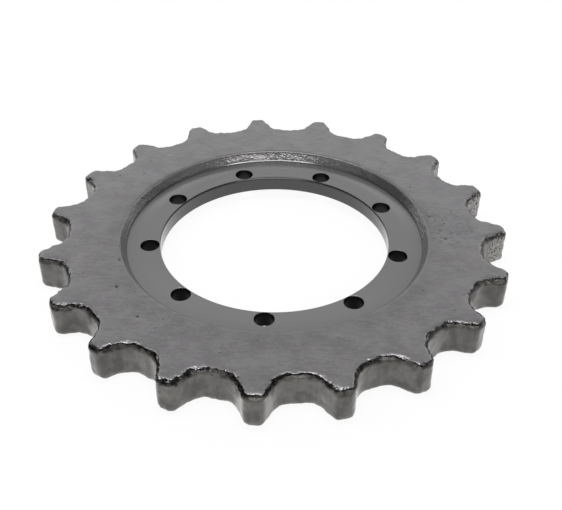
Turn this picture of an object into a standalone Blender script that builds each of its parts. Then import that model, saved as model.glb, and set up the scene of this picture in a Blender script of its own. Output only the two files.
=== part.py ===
"""Track drive sprocket for a small excavator: one casting that bolts to the final drive hub.

Units are metres. The sprocket lies flat with its axis on +Z. The origin is on the axis, in the
plane of the rim's back face. One tooth and one bolt hole point along -Y, so the YZ plane is a
plane of symmetry. The front, where the bolt heads sit, faces +Z.
"""

import math

import bmesh
import bpy
from mathutils import Matrix, Vector

# Track and teeth
TOOTH_COUNT = 19
TRACK_PITCH = 0.0525  # chord between two neighbouring drive lugs of the track
SEAT_DEPTH = 0.0101  # from the pitch circle down to the floor of a gap
TOOTH_HEIGHT = 0.0179  # from the floor of a gap up to the tips
TIP_LAND = 0.0111  # width of a tip before its corners are rounded
FLANK_ANGLE = math.radians(23.5)  # flank against the tooth's own centre line
SEAT_CORNER_RADIUS = 0.0120  # floor of a gap into its flank
TIP_CORNER_RADIUS = 0.0036
EDGE_ROUND = 0.0035  # cast rounding of the rim's edges on both faces

# Widths across the ring, from the gaps between the teeth in to the bore
RIM_WIDTH = 0.04338  # from the floor of a gap in to the foot of the recess wall
HEAD_SPACE = 0.0160  # from the foot of the recess wall in to the bolt circle
BOLT_WALL = 0.00075  # metal left between a bolt hole and the bore

# Hub flange
FLANGE_THICKNESS = 0.0115
BORE_CHAMFER = 0.0010
BOLT_COUNT = 9
BOLT_HOLE_RADIUS = 0.00675  # clearance for a 12 mm bolt
BOLT_HOLE_CHAMFER = 0.0005

# Recesses on both sides of the flange
FRONT_RECESS_DEPTH = 0.0075
BACK_RECESS_DEPTH = 0.0075
RECESS_DRAFT = math.radians(31)  # cast wall against the axis
FOOT_FILLET = 0.0015
LIP_ROUND = 0.0015
LIP_RUNOUT = math.radians(8)  # slope at which the rounded lip meets the face

# Smoothness of the facets
TURNED_STEPS = 90
HOLE_STEPS = 18
SEAT_CORNER_STEPS = 5
TIP_CORNER_STEPS = 3
EDGE_STEPS = 2
FILLET_STEPS = 3
SMOOTH_ANGLE = math.radians(38)

# Sizes that follow from the driving ones
TOOTH_ANGLE = 2 * math.pi / TOOTH_COUNT
PITCH_RADIUS = TRACK_PITCH / (2 * math.sin(TOOTH_ANGLE / 2))
ROOT_RADIUS = PITCH_RADIUS - SEAT_DEPTH
TIP_RADIUS = ROOT_RADIUS + TOOTH_HEIGHT
RECESS_FOOT_RADIUS = ROOT_RADIUS - RIM_WIDTH
BOLT_CIRCLE_RADIUS = RECESS_FOOT_RADIUS - HEAD_SPACE
BORE_RADIUS = BOLT_CIRCLE_RADIUS - BOLT_HOLE_RADIUS - BOLT_WALL
FLANGE_BACK = BACK_RECESS_DEPTH
FLANGE_FRONT = FLANGE_BACK + FLANGE_THICKNESS
RIM_THICKNESS = FLANGE_FRONT + FRONT_RECESS_DEPTH

OVERRUN = 0.0040  # how far a cutter reaches past the face that it cuts
WELD_DISTANCE = 1e-6
FIRST_HOLE_ANGLE = -math.pi / 2  # direction of the bolt hole on -Y
SHARP_EDGE = math.radians(60)  # edges sharper than this get the cast rounding
CAP_SLOPE = 0.5  # a face whose normal has more than this along Z belongs to a cap


def add_collection(name):
    """A new collection in the scene."""
    collection = bpy.data.collections.new(name)
    bpy.context.scene.collection.children.link(collection)
    return collection


def add_object(name, data, collection):
    """A new object in a collection."""
    made = bpy.data.objects.new(name, data)
    collection.objects.link(made)
    return made


def arc(centre, radius, start, turn, steps):
    """Points along an arc, both ends included."""
    angles = [start + turn * step / steps for step in range(steps + 1)]
    return [centre + radius * Vector((math.cos(angle), math.sin(angle))) for angle in angles]


def rounded(before, corner, after, radius, steps):
    """Points of the arc that rounds a corner between two straight lines.

    The arc ends no further along a line than the line's other end.
    """
    back = before - corner
    ahead = after - corner
    half_angle = back.angle(ahead) / 2
    trim = min(radius / math.tan(half_angle), back.length, ahead.length)
    radius = trim * math.tan(half_angle)
    back.normalize()
    ahead.normalize()
    centre = corner + (back + ahead).normalized() * (radius / math.sin(half_angle))
    first = corner + back * trim - centre
    last = corner + ahead * trim - centre
    start = math.atan2(first.y, first.x)
    turn = math.atan2(last.y, last.x) - start
    turn = (turn + math.pi) % (2 * math.pi) - math.pi
    return arc(centre, radius, start, turn, steps)


def half_tooth():
    """Outline of half a tooth that points along +Y, from its tip down its right flank.

    The flank and the floor of the gap are straight lines. They cross at the seat's corner, which
    is rounded to take a drive lug of the track.
    """
    tip_middle = Vector((0, TIP_RADIUS))
    tip_corner = Vector((TIP_LAND / 2, TIP_RADIUS))
    down_flank = Vector((math.sin(FLANK_ANGLE), -math.cos(FLANK_ANGLE)))
    gap_line = Vector((math.sin(TOOTH_ANGLE / 2), math.cos(TOOTH_ANGLE / 2)))
    floor_middle = gap_line * ROOT_RADIUS
    flank_length = (floor_middle - tip_corner).dot(gap_line) / down_flank.dot(gap_line)
    seat_corner = tip_corner + down_flank * flank_length
    tip = rounded(tip_middle, tip_corner, seat_corner, TIP_CORNER_RADIUS, TIP_CORNER_STEPS)
    seat = rounded(tip_corner, seat_corner, floor_middle, SEAT_CORNER_RADIUS, SEAT_CORNER_STEPS)
    return tip + seat


def rim_outline():
    """The rim's closed outline, tooth after tooth, with the first tooth on -Y."""
    right = half_tooth()
    left = [Vector((-point.x, point.y)) for point in reversed(right)]
    outline = []
    for tooth in range(TOOTH_COUNT):
        spin = Matrix.Rotation(math.pi - tooth * TOOTH_ANGLE, 2)
        outline += [spin @ point for point in left + right]
    return outline


def extruded(name, outline, thickness, collection):
    """A closed plate from a flat outline, standing on z = 0, with one face on each side."""
    curve = bpy.data.curves.new(name, "CURVE")
    curve.dimensions = "2D"
    curve.fill_mode = "BOTH"
    curve.extrude = thickness / 2
    spline = curve.splines.new("POLY")
    spline.points.add(len(outline) - 1)
    for point, place in zip(spline.points, outline):
        point.co = (place.x, place.y, 0, 1)
    spline.use_cyclic_u = True
    flat = add_object(name + "_outline", curve, collection)
    bpy.context.view_layer.update()
    graph = bpy.context.evaluated_depsgraph_get()
    mesh = bpy.data.meshes.new_from_object(flat.evaluated_get(graph))
    bpy.data.objects.remove(flat)
    shape = bmesh.new()
    shape.from_mesh(mesh)
    bmesh.ops.translate(shape, verts=shape.verts, vec=(0, 0, thickness / 2))
    bmesh.ops.remove_doubles(shape, verts=shape.verts, dist=WELD_DISTANCE)
    for side in (1, -1):
        cap = [face for face in shape.faces if face.normal.z * side > CAP_SLOPE]
        bmesh.ops.dissolve_faces(shape, faces=cap)
    bmesh.ops.recalc_face_normals(shape, faces=shape.faces)
    shape.to_mesh(mesh)
    shape.free()
    return add_object(name, mesh, collection)


def turned_cutter(name, profile, steps, collection):
    """A cutter turned about Z from a profile of (radius, height) that runs top to bottom."""
    mesh = bpy.data.meshes.new(name)
    edges = [(i, i + 1) for i in range(len(profile) - 1)]
    mesh.from_pydata([(radius, 0, height) for radius, height in profile], edges, [])
    cutter = add_object(name, mesh, collection)
    screw = cutter.modifiers.new("turn", "SCREW")
    screw.axis = "Z"
    screw.steps = steps
    screw.render_steps = steps
    screw.use_merge_vertices = True
    screw.merge_threshold = WELD_DISTANCE
    cutter.hide_render = True
    cutter.display_type = "WIRE"
    return cutter


def recess_side(flange_face, rim_face):
    """One recess from its open end down to the flange, as (radius, height) points.

    The drafted wall has a fillet at its foot and a rounded lip at the rim's face. Outwards is +1
    on the front and -1 on the back.
    """
    outwards = math.copysign(1, rim_face - flange_face)
    mouth_radius = RECESS_FOOT_RADIUS + abs(rim_face - flange_face) * math.tan(RECESS_DRAFT)
    run_out = Vector((math.cos(LIP_RUNOUT), outwards * math.sin(LIP_RUNOUT)))
    lip = Vector((mouth_radius, rim_face))
    clear = lip + run_out * (OVERRUN / math.sin(LIP_RUNOUT))
    foot = Vector((RECESS_FOOT_RADIUS, flange_face))
    floor_inner = Vector((BORE_RADIUS + BORE_CHAMFER, flange_face))
    wall_middle = (lip + foot) / 2
    points = [Vector((0, clear.y)), clear]
    points += rounded(clear, lip, wall_middle, LIP_ROUND, FILLET_STEPS)
    points += rounded(wall_middle, foot, floor_inner, FOOT_FILLET, FILLET_STEPS)
    points += [floor_inner, Vector((BORE_RADIUS, flange_face - outwards * BORE_CHAMFER))]
    return points


def hole_side(flange_face, outwards):
    """One end of a bolt hole from above the flange's face to the hole's wall."""
    flare = BOLT_HOLE_RADIUS + BOLT_HOLE_CHAMFER + OVERRUN
    return [
        Vector((0, flange_face + outwards * OVERRUN)),
        Vector((flare, flange_face + outwards * OVERRUN)),
        Vector((BOLT_HOLE_RADIUS, flange_face - outwards * BOLT_HOLE_CHAMFER)),
    ]


def cut(target, cutter):
    """Cuts a solid out of another with a Boolean."""
    boolean = target.modifiers.new("cut_" + cutter.name, "BOOLEAN")
    boolean.operation = "DIFFERENCE"
    boolean.solver = "EXACT"
    boolean.object = cutter


def applied(source, name, collection):
    """The object's shape with its modifiers applied, as a new object that replaces it."""
    bpy.context.view_layer.update()
    graph = bpy.context.evaluated_depsgraph_get()
    mesh = bpy.data.meshes.new_from_object(source.evaluated_get(graph))
    bpy.data.objects.remove(source)
    mesh.name = name
    mesh.shade_smooth()
    mesh.set_sharp_from_angle(angle=SMOOTH_ANGLE)
    return add_object(name, mesh, collection)


def cast_steel():
    """Dark semi-gloss paint over cast steel."""
    material = bpy.data.materials.new("painted_cast_steel")
    material.use_nodes = True
    shader = material.node_tree.nodes["Principled BSDF"]
    shader.inputs["Base Color"].default_value = (0.14, 0.135, 0.138, 1)
    shader.inputs["Roughness"].default_value = 0.38
    shader.inputs["Metallic"].default_value = 0.35
    return material


def build():
    for leftover in list(bpy.data.objects):
        bpy.data.objects.remove(leftover)
    parts = add_collection("track_drive_sprocket")
    cutters = add_collection("cutters")

    # The toothed disc, with the cast rounding along its edges
    blank = extruded("toothed_blank", rim_outline(), RIM_THICKNESS, cutters)
    rounding = blank.modifiers.new("cast_edges", "BEVEL")
    rounding.limit_method = "ANGLE"
    rounding.angle_limit = SHARP_EDGE
    rounding.width = EDGE_ROUND
    rounding.segments = EDGE_STEPS

    # Both recesses and the bore, cut in one turned shape
    front = recess_side(FLANGE_FRONT, RIM_THICKNESS)
    back = recess_side(FLANGE_BACK, 0)
    cut(blank, turned_cutter("bore_and_recesses", front + back[::-1], TURNED_STEPS, cutters))

    # The ring of bolt holes
    hole = hole_side(FLANGE_FRONT, 1) + hole_side(FLANGE_BACK, -1)[::-1]
    for number in range(BOLT_COUNT):
        angle = FIRST_HOLE_ANGLE + number * 2 * math.pi / BOLT_COUNT
        drill = turned_cutter(f"bolt_hole_{number + 1}", hole, HOLE_STEPS, cutters)
        place = (BOLT_CIRCLE_RADIUS * math.cos(angle), BOLT_CIRCLE_RADIUS * math.sin(angle), 0)
        drill.location = place
        drill.rotation_euler.z = angle
        cut(blank, drill)

    sprocket = applied(blank, "drive_sprocket", parts)
    sprocket.data.materials.clear()
    sprocket.data.materials.append(cast_steel())


build()
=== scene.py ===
# %% [markdown]
# # A track drive sprocket
#
# The real object is one steel casting: a thick ring with 19 rounded teeth round it and a thinner,
# recessed flange inside. Nine bolts hold the flange on a digger's final drive, and the teeth pull
# the rubber track along. This lesson makes it in the order that a foundry and a machine shop do.
# The rough casting comes first, with its soft edges and uneven skin. Then the flange, the bore
# and the bolt holes are machined into it, which leaves them crisp and true.

# %% [markdown]
# ## Load the frame
#
# The engineering model is loaded first and isn't changed. It gives the place and the size of
# everything, so the box round it is kept.

# %% Load the engineering model
import math
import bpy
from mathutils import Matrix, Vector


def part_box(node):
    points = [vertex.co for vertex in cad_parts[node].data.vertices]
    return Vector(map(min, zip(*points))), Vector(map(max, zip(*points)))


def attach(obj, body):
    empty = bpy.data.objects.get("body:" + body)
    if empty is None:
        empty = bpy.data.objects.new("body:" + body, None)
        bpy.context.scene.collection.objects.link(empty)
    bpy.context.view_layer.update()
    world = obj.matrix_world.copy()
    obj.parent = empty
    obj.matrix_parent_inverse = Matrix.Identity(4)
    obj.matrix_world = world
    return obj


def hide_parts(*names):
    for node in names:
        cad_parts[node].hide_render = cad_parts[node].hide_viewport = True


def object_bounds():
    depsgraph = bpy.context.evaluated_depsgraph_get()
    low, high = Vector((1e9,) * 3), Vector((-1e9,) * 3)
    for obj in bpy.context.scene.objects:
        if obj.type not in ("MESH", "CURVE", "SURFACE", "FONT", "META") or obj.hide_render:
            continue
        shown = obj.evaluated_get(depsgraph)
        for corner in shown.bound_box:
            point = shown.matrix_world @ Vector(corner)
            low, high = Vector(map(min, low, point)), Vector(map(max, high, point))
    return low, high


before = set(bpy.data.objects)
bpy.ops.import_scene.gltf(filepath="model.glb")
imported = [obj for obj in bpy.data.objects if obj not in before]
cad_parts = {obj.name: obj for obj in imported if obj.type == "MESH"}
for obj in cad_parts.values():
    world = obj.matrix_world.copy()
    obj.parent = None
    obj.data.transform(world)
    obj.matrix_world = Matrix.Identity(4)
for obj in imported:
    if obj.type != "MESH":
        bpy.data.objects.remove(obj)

from types import SimpleNamespace

import bmesh
import bpy
import numpy
from mathutils import Matrix, Vector

CAD_NODE = "drive_sprocket"
cad_low, cad_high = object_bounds()
node_low, node_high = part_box(CAD_NODE)
print("engineering model, low and high corner:", tuple(cad_low), tuple(cad_high))

# %% [markdown]
# ## The camera
#
# The photograph was taken from 36 degrees above the bench, from about two thirds of a metre. The
# angle came from the nine bolt holes, because a ring of equal holes shows how far a circle is
# tipped and how near the lens is. The camera's distance and lens are set from that, with a small
# turn so that the ring sits where it does in the picture.

# %% Place the camera
FRAME_WIDTH = 562
FRAME_HEIGHT = 510
SENSOR_WIDTH = 36.0
FOCAL_PIXELS = 903.9
CAMERA_RISE = math.radians(35.90)
CAMERA_TURN = math.radians(4.35)
CAMERA_ROLL = math.radians(-0.10)
CAMERA_DISTANCE = 0.6573
PAN_X_PIXELS = -6.415
PAN_Y_PIXELS = -17.304
NEAREST_SEEN = 0.01
FLANGE_FRONT = 0.0190


def camera_axes():
    """Right, up and back directions of the camera, before its turn round the ring's axis."""
    back = Vector((0, -math.cos(CAMERA_RISE), math.sin(CAMERA_RISE)))
    right = Vector((1, 0, 0))
    ahead = -back
    pan = math.atan2(PAN_X_PIXELS, FOCAL_PIXELS)
    tilt = math.atan2(PAN_Y_PIXELS, FOCAL_PIXELS)
    panned = ahead * math.cos(pan) - right * math.sin(pan)
    side = panned.cross(right.cross(ahead)).normalized()
    above = side.cross(panned)
    aimed = panned * math.cos(tilt) + above * math.sin(tilt)
    level_up = side.cross(aimed)
    rolled_side = side * math.cos(CAMERA_ROLL) + level_up * math.sin(CAMERA_ROLL)
    rolled_up = level_up * math.cos(CAMERA_ROLL) - side * math.sin(CAMERA_ROLL)
    return back, rolled_side, rolled_up, -aimed


def place_camera():
    """The camera that sees the ring as the photograph does."""
    back, side, above, behind = camera_axes()
    stand = Vector((0, 0, FLANGE_FRONT)) + back * CAMERA_DISTANCE
    turn = Matrix.Rotation(CAMERA_TURN, 4, "Z")
    aim = Matrix((side, above, behind)).transposed().to_4x4()
    bpy.ops.object.camera_add()
    camera = bpy.context.object
    camera.name = "photo_camera"
    camera.data.sensor_fit = "HORIZONTAL"
    camera.data.sensor_width = SENSOR_WIDTH
    camera.data.lens = FOCAL_PIXELS * SENSOR_WIDTH / FRAME_WIDTH
    camera.data.clip_start = NEAREST_SEEN
    camera.matrix_world = turn @ Matrix.Translation(stand) @ aim
    bpy.context.scene.camera = camera
    return camera


photo_camera = place_camera()
print(f"camera lens {photo_camera.data.lens:.1f} mm at {tuple(photo_camera.location)}")

# %% [markdown]
# ## Working one object at a time
#
# An operator works on everything that is selected. So each step first picks one object and drops
# the rest. A modifier is added, given its settings and applied in one call.

# %% Helpers for operators
MILLIMETRE = 0.001


def pick_only(piece):
    """Selects one object and nothing else."""
    bpy.ops.object.select_all(action="DESELECT")
    piece.select_set(True)
    bpy.context.view_layer.objects.active = piece


def apply_modifier(piece, name, kind, **settings):
    """Adds a modifier, sets it up and applies it."""
    pick_only(piece)
    modifier = piece.modifiers.new(name, kind)
    for setting, value in settings.items():
        setattr(modifier, setting, value)
    bpy.ops.object.modifier_apply(modifier=name)


def settle(piece):
    """Moves the object's place, turn and scale into its mesh."""
    pick_only(piece)
    bpy.ops.object.transform_apply(location=True, rotation=True, scale=True)


def select_in_edit(piece, mode, test):
    """Enters edit mode and selects the vertices, edges or faces that pass a test."""
    pick_only(piece)
    bpy.ops.object.mode_set(mode="EDIT")
    bpy.ops.mesh.select_mode(type=mode)
    bpy.ops.mesh.select_all(action="DESELECT")
    shape = bmesh.from_edit_mesh(piece.data)
    parts = {"VERT": shape.verts, "EDGE": shape.edges, "FACE": shape.faces}[mode]
    chosen = [part for part in parts if test(part)]
    for part in chosen:
        part.select_set(True)
    bmesh.update_edit_mesh(piece.data)
    return len(chosen)


def leave_edit():
    """Goes back to object mode."""
    bpy.ops.object.mode_set(mode="OBJECT")


def triangles(piece):
    """How many triangles a piece has."""
    return sum(len(face.vertices) - 2 for face in piece.data.polygons)


# %% [markdown]
# ## The blank
#
# The casting starts as a flat prism with 19 sides, as thick as the rim. Each side is the flat tip
# of one tooth, and the corners between them fall away when the gaps are cut in the next step. One
# tooth points along -Y, so the low corner of the engineering model's box gives its radius.

# %% Add the blank
TOOTH_COUNT = 19
HALF_STEP = math.pi / TOOTH_COUNT
TIP_RADIUS = -node_low.y
RIM_THICKNESS = node_high.z

bpy.ops.object.select_all(action="DESELECT")
bpy.ops.mesh.primitive_cylinder_add(
    vertices=TOOTH_COUNT,
    radius=TIP_RADIUS / math.cos(HALF_STEP),
    depth=RIM_THICKNESS,
    location=(0, 0, RIM_THICKNESS / 2),
)
casting = bpy.context.object
casting.name = "toothed_casting"
settle(casting)
print(f"blank: {2 * TIP_RADIUS / MILLIMETRE:.1f} mm across")

# %% [markdown]
# ## The gaps between the teeth
#
# A gap has a short flat floor, two rounded corners that carry the track's lugs, and two straight
# flanks that open outwards. One block is shaped like that gap. It starts as a cube, its outer side
# is made wider to lean the flanks, and its two inner corners are bevelled. Then it is copied
# round the disc 19 times, and all the copies are cut out in one go.

# %% Shape one gap and cut all of them
SEAT_FLOOR = 0.14938
TOOTH_HEIGHT = TIP_RADIUS - SEAT_FLOOR
TIP_LAND = 0.0111
FLANK_LEAN = math.radians(23.5)
SEAT_CORNER = 0.0120
SEAT_STEPS = 10
OVERRUN = 0.0040
NEARLY_STRAIGHT = 0.9

GAP_LEAN = FLANK_LEAN + HALF_STEP


def gap_half_width(radius):
    """Half the width of a gap at a distance from the axis, before its corners are rounded."""
    tip_corner = Vector((TIP_LAND / 2, TIP_RADIUS))
    along = tip_corner.x * math.sin(HALF_STEP) + tip_corner.y * math.cos(HALF_STEP)
    across = tip_corner.y * math.sin(HALF_STEP) - tip_corner.x * math.cos(HALF_STEP)
    return across + (radius - along) * math.tan(GAP_LEAN)


def is_seat_corner(edge):
    """True for an upright edge on the inner side of the block."""
    first, second = edge.verts
    inner = all(abs(vert.co.y + SEAT_FLOOR) < OVERRUN / 4 for vert in edge.verts)
    return inner and abs(first.co.z - second.co.z) > OVERRUN


def gap_block():
    """A block with the shape of the gap, pointing along -Y."""
    outer = TIP_RADIUS + OVERRUN
    bpy.ops.object.select_all(action="DESELECT")
    middle = (0, -(SEAT_FLOOR + outer) / 2, RIM_THICKNESS / 2)
    bpy.ops.mesh.primitive_cube_add(size=1, location=middle)
    block = bpy.context.object
    block.scale = (2 * gap_half_width(SEAT_FLOOR), outer - SEAT_FLOOR, RIM_THICKNESS + 2 * OVERRUN)
    settle(block)
    select_in_edit(block, "FACE", lambda face: face.normal.y < -NEARLY_STRAIGHT)
    widening = gap_half_width(outer) / gap_half_width(SEAT_FLOOR)
    bpy.ops.transform.resize(value=(widening, 1, 1))
    leave_edit()
    select_in_edit(block, "EDGE", is_seat_corner)
    half_corner = (math.pi / 2 + GAP_LEAN) / 2
    bpy.ops.mesh.bevel(
        offset=SEAT_CORNER / math.tan(half_corner), segments=SEAT_STEPS, affect="EDGES"
    )
    leave_edit()
    return block


def copies_round(piece, count, first_turn):
    """The piece copied round Z a number of times and joined into one object."""
    ring = []
    for number in range(count):
        copy = piece.copy()
        copy.data = piece.data.copy()
        bpy.context.collection.objects.link(copy)
        copy.rotation_euler.z = first_turn + number * 2 * math.pi / count
        ring.append(copy)
    bpy.data.objects.remove(piece)
    bpy.ops.object.select_all(action="DESELECT")
    for copy in ring:
        copy.select_set(True)
    bpy.context.view_layer.objects.active = ring[0]
    bpy.ops.object.join()
    joined = bpy.context.object
    settle(joined)
    return joined


def cut_out(target, cutter, name, solver):
    """Cuts a closed shape out of the target and removes the cutter."""
    apply_modifier(target, name, "BOOLEAN", operation="DIFFERENCE", solver=solver, object=cutter)
    bpy.data.objects.remove(cutter)


gap_ring = copies_round(gap_block(), TOOTH_COUNT, HALF_STEP)
cut_out(casting, gap_ring, "gaps", "EXACT")
print(f"gaps: floor {2 * gap_half_width(SEAT_FLOOR) / MILLIMETRE:.1f} mm wide, "
      f"{TOOTH_HEIGHT / MILLIMETRE:.1f} mm deep")

# %% [markdown]
# ## Soft cast edges
#
# Sand can't hold a sharp edge, so all of a casting's edges are rounded. The upright corners of
# the tips come first, and then the long edges of the teeth on both faces. The second round is a
# little smaller than the first, so that it can follow it without folding over itself.

# %% Round the edges of the teeth
TIP_CORNER = 0.0046
TIP_STEPS = 6
EDGE_ROUND = 0.0042
EDGE_STEPS = 6
FLAT = 1e-5


def is_tip_corner(edge):
    """True for an upright edge at the end of a tooth."""
    first, second = edge.verts
    far_out = min(vert.co.to_2d().length for vert in edge.verts) > TIP_RADIUS - FLAT
    return far_out and abs(first.co.z - second.co.z) > EDGE_ROUND


def is_tooth_edge(edge):
    """True for an edge that lies in one of the rim's two flat faces."""
    heights = [vert.co.z for vert in edge.verts]
    return any(all(abs(height - face) < FLAT for height in heights) for face in (0, RIM_THICKNESS))


tip_corners = select_in_edit(casting, "EDGE", is_tip_corner)
tip_trim = TIP_CORNER * math.tan((math.pi / 2 - FLANK_LEAN) / 2)
bpy.ops.mesh.bevel(offset=tip_trim, segments=TIP_STEPS, affect="EDGES", clamp_overlap=False)
leave_edit()
tooth_edges = select_in_edit(casting, "EDGE", is_tooth_edge)
bpy.ops.mesh.bevel(offset=EDGE_ROUND, segments=EDGE_STEPS, affect="EDGES", clamp_overlap=False)
leave_edit()
print(f"rounded {tip_corners} tip corners and {tooth_edges} edges of the teeth")

# %% [markdown]
# ## Turned shapes
#
# Everything inside the teeth is round, so its cutters are solids of revolution. Half of an
# outline is drawn from one point by extruding it again and again, and the line is then spun round
# the axis. Where a corner of the outline is soft, its arc is worked out first.

# %% Helpers for turned shapes
WELD = 1e-6


def soft_corner(before, corner, after, radius, steps):
    """Points of the arc that rounds a corner between two straight lines."""
    before, corner, after = Vector(before), Vector(corner), Vector(after)
    back = (before - corner).normalized()
    ahead = (after - corner).normalized()
    half = back.angle(ahead) / 2
    centre = corner + (back + ahead).normalized() * (radius / math.sin(half))
    first = corner + back * (radius / math.tan(half)) - centre
    last = corner + ahead * (radius / math.tan(half)) - centre
    sweep = first.angle_signed(last)
    points = []
    for step in range(steps + 1):
        turn = Matrix.Rotation(-sweep * step / steps, 2)
        points.append(tuple(centre + turn @ first))
    return points


def spun_cutter(name, profile, steps, place=(0, 0, 0)):
    """A closed cutter spun about Z from (radius, height) points that start and end on the axis."""
    bpy.ops.object.select_all(action="DESELECT")
    bpy.ops.mesh.primitive_plane_add(size=MILLIMETRE)
    cutter = bpy.context.object
    cutter.name = name
    bpy.ops.object.mode_set(mode="EDIT")
    bpy.ops.mesh.select_mode(type="VERT")
    bpy.ops.mesh.select_all(action="SELECT")
    bpy.ops.mesh.merge(type="CENTER")
    bpy.ops.transform.translate(value=(profile[0][0], 0, profile[0][1]))
    for (radius, height), (next_radius, next_height) in zip(profile, profile[1:]):
        step = (next_radius - radius, 0, next_height - height)
        bpy.ops.mesh.extrude_region_move(TRANSFORM_OT_translate={"value": step})
    bpy.ops.mesh.select_all(action="SELECT")
    bpy.ops.mesh.spin(steps=steps, angle=2 * math.pi, center=(0, 0, 0), axis=(0, 0, 1))
    bpy.ops.mesh.select_all(action="SELECT")
    bpy.ops.mesh.remove_doubles(threshold=WELD)
    bpy.ops.mesh.normals_make_consistent(inside=False)
    leave_edit()
    cutter.location = place
    settle(cutter)
    return cutter


# %% [markdown]
# ## The recess on each side
#
# The flange in the middle is thinner than the rim. On both sides the mould leaves a shallow round
# pocket whose wall leans outwards, so that the pattern pulls out of the sand. The foundry leaves
# a little extra metal on the flange, which the lathe takes off later, and a smaller core hole in
# the middle. One turned cutter has both pockets and the core hole in its outline. The flange is
# half a millimetre thicker than in the engineering model, at the back, because the photograph
# shows no light through the nearest bolt hole.

# %% Cut the cast recesses and the core hole
RECESS_FOOT = 0.1060
RECESS_DRAFT = math.radians(33)
FOOT_ROUND = 0.0009
LIP_ROUND = 0.0012
LIP_RUNOUT = math.radians(6)
FLANGE_BACK = 0.0070
CAST_SPARE = 0.0003
CORE_RADIUS = 0.0740
ARC_STEPS = 5
RECESS_STEPS = 240


def cast_recess(cast_floor, rim_face):
    """One pocket from its open end down to the core hole, as (radius, height) points."""
    outwards = math.copysign(1, rim_face - cast_floor)
    lip = (RECESS_FOOT + abs(rim_face - cast_floor) * math.tan(RECESS_DRAFT), rim_face)
    clear = (lip[0] + OVERRUN / math.tan(LIP_RUNOUT), rim_face + outwards * OVERRUN)
    foot = (RECESS_FOOT, cast_floor)
    floor = (CORE_RADIUS, cast_floor)
    return [
        (0, clear[1]),
        clear,
        *soft_corner(clear, lip, foot, LIP_ROUND, ARC_STEPS),
        *soft_corner(lip, foot, floor, FOOT_ROUND, ARC_STEPS),
        floor,
    ]


front_recess = cast_recess(FLANGE_FRONT + CAST_SPARE, RIM_THICKNESS)
back_recess = cast_recess(FLANGE_BACK - CAST_SPARE, 0)
pockets = spun_cutter("cast_pockets", front_recess + back_recess[::-1], RECESS_STEPS)
cut_out(casting, pockets, "pockets", "EXACT")
print(f"casting with recesses: {triangles(casting)} triangles")

# %% [markdown]
# ## An even skin of small faces
#
# The uneven skin of a casting needs many small faces of one size. A voxel remesh gives them. It
# also leaves faint steps, so the mesh is relaxed a little afterwards.

# %% Remesh and relax the casting
SKIN_VOXEL = 0.0010
RELAX_ROUNDS = 4

apply_modifier(casting, "skin", "REMESH", mode="VOXEL", voxel_size=SKIN_VOXEL)
apply_modifier(casting, "relax", "SMOOTH", factor=0.5, iterations=RELAX_ROUNDS)
print(f"skin: {triangles(casting)} triangles")

# %% [markdown]
# ## The uneven cast surface
#
# Sand grains, small collapses of the mould and fettling leave a casting slightly lumpy, most of
# all along its rounded edges, and that is what breaks the light along them into short glints.
# Each kind of unevenness gets its own clouds texture. A vertex group says where it acts: the flat
# faces of the rim stay nearly true, the rounds and the walls don't.

# %% Push the skin in and out
def skin_arrays(piece):
    """Places and normals of all the vertices of a piece."""
    count = len(piece.data.vertices)
    places = numpy.empty(count * 3, dtype=numpy.float32)
    normals = numpy.empty(count * 3, dtype=numpy.float32)
    piece.data.vertices.foreach_get("co", places)
    piece.data.vertex_normals.foreach_get("vector", normals)
    return places.reshape(-1, 3), normals.reshape(-1, 3)


def ramp(values, start, end):
    """0 before start, 1 after end and a smooth rise between them."""
    part = numpy.clip((values - start) / (end - start), 0, 1)
    return part * part * (3 - 2 * part)


def add_weights(piece, name, weights, levels=32):
    """A vertex group with a weight for each vertex, rounded to a number of levels."""
    group = piece.vertex_groups.new(name=name)
    stepped = numpy.round(weights * levels).astype(int)
    for level in range(1, levels + 1):
        chosen = numpy.flatnonzero(stepped == level)
        if len(chosen):
            group.add(chosen.tolist(), level / levels, "REPLACE")


def push_clouds(piece, name, grain, depth, group, layers):
    """Pushes the skin in and out by a clouds texture, as far as a vertex group says."""
    clouds = bpy.data.textures.new(name, "CLOUDS")
    clouds.noise_scale = grain
    clouds.noise_depth = layers
    settings = {"texture": clouds, "strength": depth, "mid_level": 0.5}
    apply_modifier(piece, name, "DISPLACE", vertex_group=group, **settings)


TOOTH_ZONE = (SEAT_FLOOR - 0.012, SEAT_FLOOR - 0.004)
RECESS_ZONE = (RECESS_FOOT - 0.004, RECESS_FOOT - 0.001)
FRONT_ZONE = (0.016, 0.024)
BENT = (0.003, 0.10)
UPRIGHT = (0.7, 0.95)
WALL_CALM = 0.5

places, normals = skin_arrays(casting)
radii = numpy.hypot(places[:, 0], places[:, 1])
tilt = 1 - numpy.abs(normals[:, 2])
bent = ramp(tilt, *BENT)
tooth_zone = ramp(radii, *TOOTH_ZONE)
edge_zone = tooth_zone * bent * (1 - WALL_CALM * ramp(tilt, *UPRIGHT))
recess_zone = (1 - tooth_zone) * ramp(radii, *RECESS_ZONE)
front_zone = edge_zone * ramp(places[:, 2], *FRONT_ZONE)
add_weights(casting, "edges", edge_zone)
add_weights(casting, "front_edges", front_zone)
add_weights(casting, "recess", recess_zone * bent)

# Name, size of the grains, depth and vertex group.
UNEVENNESS = (
    ("long_waves", 0.030, 0.00016, ""),
    ("edge_lumps", 0.0085, 0.0013, "edges"),
    ("edge_grit", 0.0028, 0.0005, "edges"),
    ("front_lumps", 0.0044, 0.0014, "front_edges"),
    ("recess_lumps", 0.0070, 0.0002, "recess"),
    ("recess_grit", 0.0024, 0.0002, "recess"),
)
for name, grain, depth, group in UNEVENNESS:
    push_clouds(casting, name, grain, depth, group, layers=1)
print("uneven surface:", ", ".join(name for name, *rest in UNEVENNESS))

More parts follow.
